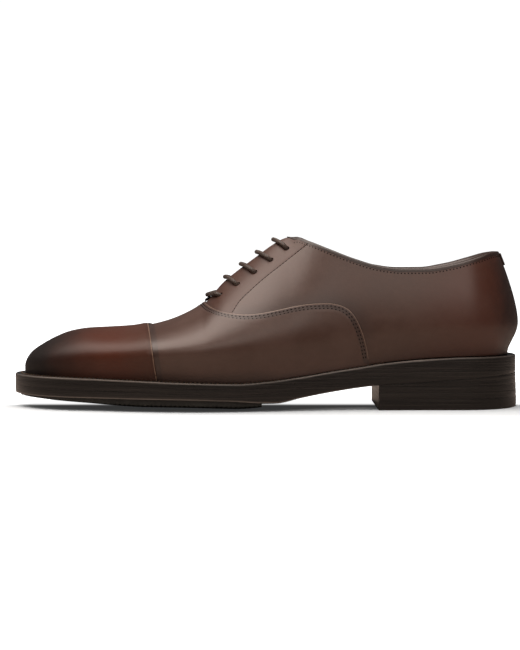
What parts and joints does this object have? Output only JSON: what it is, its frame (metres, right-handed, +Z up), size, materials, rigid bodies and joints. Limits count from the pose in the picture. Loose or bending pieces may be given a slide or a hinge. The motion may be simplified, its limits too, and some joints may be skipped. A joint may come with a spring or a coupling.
{
  "type": "leather oxford shoe",
  "caption": "Dark brown leather cap-toe oxford lace-up shoe for the left foot, with closed lacing, a stitched upper, a welted leather sole and a low stacked heel.",
  "frame": {"origin": "on the ground, under the middle of the shoe's footprint", "axes": "+Z up; the toe points along -X and the heel along +X; the outer side of this left shoe faces -Y"},
  "size_m": [0.303, 0.104, 0.1014],
  "materials": {
    "upper_leather": "polished, burnished dark brown",
    "lining_leather": "natural tan, matte",
    "stiffener": "rough fibre board",
    "sole_leather": "edge-dressed, waxed",
    "insole_leather": "vegetable tanned, matte",
    "cork": "ground cork paste",
    "spring_steel": "plain",
    "sole_rubber": "matte black",
    "waxed_cotton": "round woven, waxed",
    "thread": "waxed thread",
    "lace_tip": "gloss"
  },
  "bodies": {
    "shoe": {"toe_cap": "upper_leather", "toe_puff": "stiffener", "vamp": "upper_leather", "vamp_lining": "lining_leather", "quarter_lateral": "upper_leather", "quarter_medial": "upper_leather", "facing_lateral": "upper_leather", "facing_medial": "upper_leather", "quarter_lining_lateral": "lining_leather", "quarter_lining_medial": "lining_leather", "heel_counter": "stiffener", "topline_binding": "upper_leather", "heel_tab": "upper_leather", "welt": "sole_leather", "insole_rib": "stiffener", "insole": "insole_leather", "sock_lining": "lining_leather", "cork_filler": "cork", "shank": "spring_steel", "midsole": "sole_leather", "outsole": "sole_leather", "rubber_forepart": "sole_rubber", "heel_top_piece": "sole_rubber", "heel_lift_1": "sole_leather", "heel_lift_2": "sole_leather", "heel_lift_3": "sole_leather", "heel_lift_4": "sole_leather", "lace": "waxed_cotton", "lace_end_lateral": "waxed_cotton", "lace_end_medial": "waxed_cotton", "aglet_lateral": "lace_tip", "aglet_medial": "lace_tip", "throat_tack": "thread"},
    "tongue": {"tongue": "upper_leather", "tongue_lining": "lining_leather"}
  },
  "joints": [
    {"name": "tongue_hinge", "type": "hinge", "parent": "shoe", "child": "tongue", "pos_m": [-0.0415, 0, 0.0465], "axis": [0, 1, 0], "range_deg": [0, 10], "stiffness_Nm_per_rad": 0.25, "springref_deg": -0.57}
  ]
}
